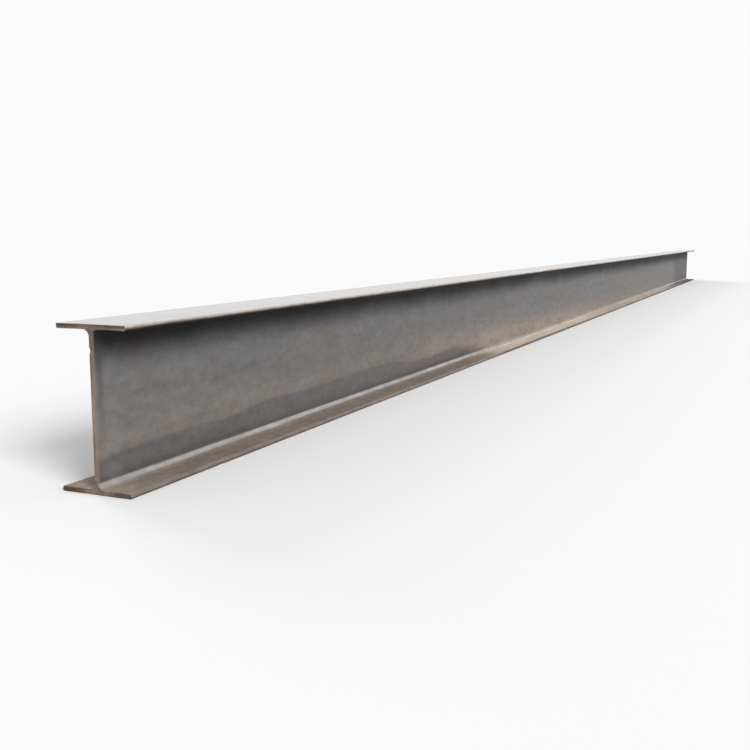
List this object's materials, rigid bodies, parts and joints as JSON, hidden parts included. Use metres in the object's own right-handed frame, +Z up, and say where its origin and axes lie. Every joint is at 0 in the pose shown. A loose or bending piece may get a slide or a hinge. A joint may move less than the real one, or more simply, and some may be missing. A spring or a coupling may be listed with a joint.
{
  "type": "steel i-beam",
  "caption": "Hot-rolled steel I-beam with parallel flanges, root fillets and square sawn ends, structural stock that carries floors, roofs and frames.",
  "frame": {"origin": "on the underside of the lower flange, midway along the beam and straight below the web", "axes": "+X along the beam, +Y across the flanges, +Z up from the lower flange to the upper one"},
  "size_m": [9, 0.15, 0.3],
  "materials": {
    "rolled_steel": "as rolled: matt grey mill scale with light brown rust and dust on the lower flange, bare sawn ends"
  },
  "bodies": {
    "root": {"i_beam": "rolled_steel"}
  },
  "joints": []
}
